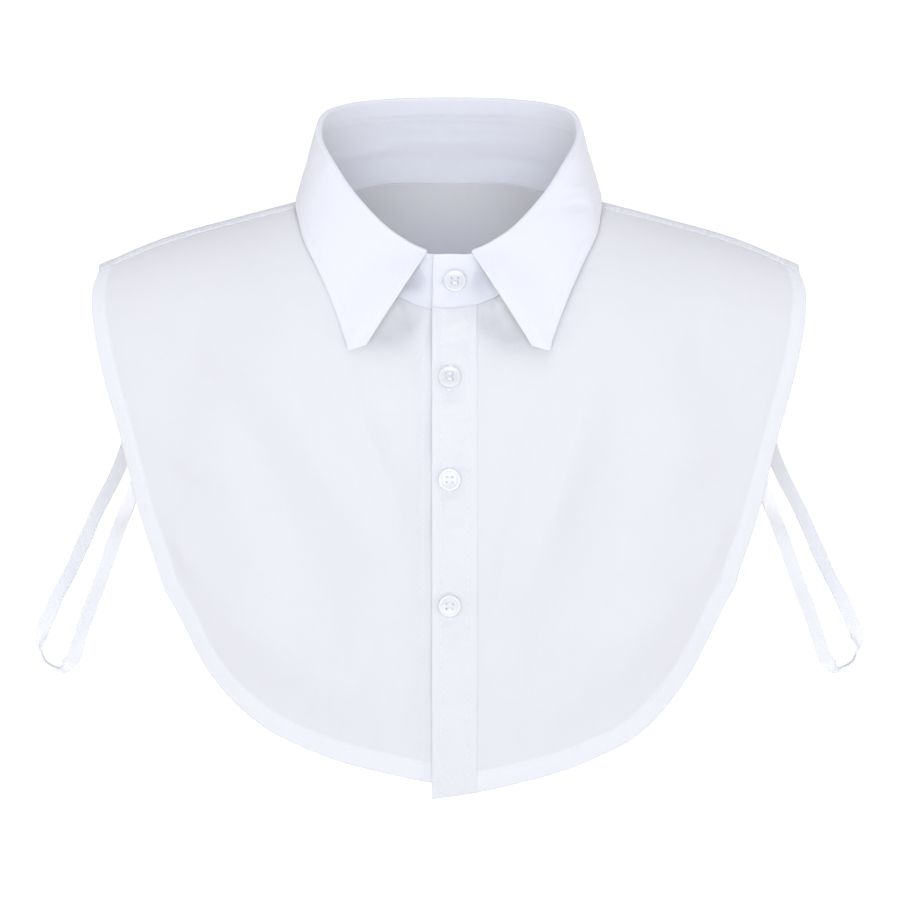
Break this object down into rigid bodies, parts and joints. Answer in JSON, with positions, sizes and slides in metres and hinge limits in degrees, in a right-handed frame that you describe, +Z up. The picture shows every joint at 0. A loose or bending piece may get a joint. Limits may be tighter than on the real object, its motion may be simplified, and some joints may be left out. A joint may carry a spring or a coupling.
{
  "type": "detachable shirt collar",
  "caption": "White detachable shirt collar with a half-shirt front and back, a turned-down collar, a buttoned placket and elastic side bands, filled out as worn.",
  "frame": {"origin": "middle of the wearer's neck at shoulder level, between the two shoulder ridges", "axes": "+X to the right as seen from the front, -Y out of the buttoned front, +Z up"},
  "size_m": [0.4302, 0.2093, 0.3475],
  "materials": {
    "panel_cotton": "matt plain-woven cotton",
    "collar_cotton": "matt interlined cotton",
    "elastic": "ribbed white elastic",
    "button": "smooth pearl white"
  },
  "bodies": {
    "root": {"front_left": "panel_cotton", "front_right": "panel_cotton", "back": "panel_cotton", "placket": "panel_cotton", "stand": "collar_cotton", "leaf": "collar_cotton", "button_1": "button", "button_2": "button", "button_3": "button", "button_4": "button", "elastic_left": "elastic", "elastic_right": "elastic"}
  },
  "joints": []
}
